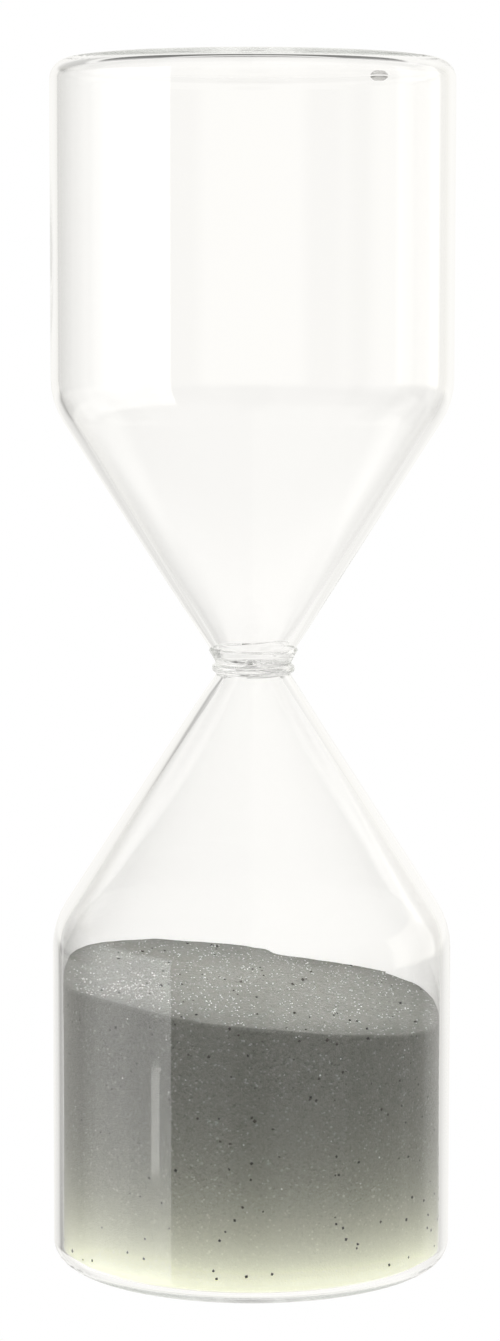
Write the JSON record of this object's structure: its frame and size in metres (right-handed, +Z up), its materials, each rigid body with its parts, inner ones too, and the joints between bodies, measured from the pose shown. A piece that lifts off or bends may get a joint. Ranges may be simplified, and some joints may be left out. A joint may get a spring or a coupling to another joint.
{
  "type": "hourglass",
  "caption": "Frameless glass hourglass: flat-ended blown bulbs with conical shoulders, flame-sealed to a rimmed neck collar that holds a pierced disc, with loose grey sand in the lower bulb.",
  "frame": {"origin": "centre of the lower end's flat outer face, on the axis that the bulbs share", "axes": "+Z up along the axis of the bulbs; +X and +Y across it, with the sand's top sloping down about 20 degrees clockwise of +X"},
  "size_m": [0.08, 0.08, 0.24],
  "materials": {
    "clear_glass": "polished",
    "neck_glass": "polished",
    "grey_sand": "matte"
  },
  "bodies": {
    "glass": {"lower_bulb": "clear_glass", "upper_bulb": "clear_glass", "fill_seal": "clear_glass", "neck_collar": "neck_glass", "orifice_disc": "neck_glass"},
    "sand": {"sand_bed": "grey_sand"}
  },
  "joints": [
    {"name": "sand_shift", "type": "slide", "parent": "glass", "child": "sand", "axis": [0, 0, 1], "range_m": [0, 0.005]}
  ]
}
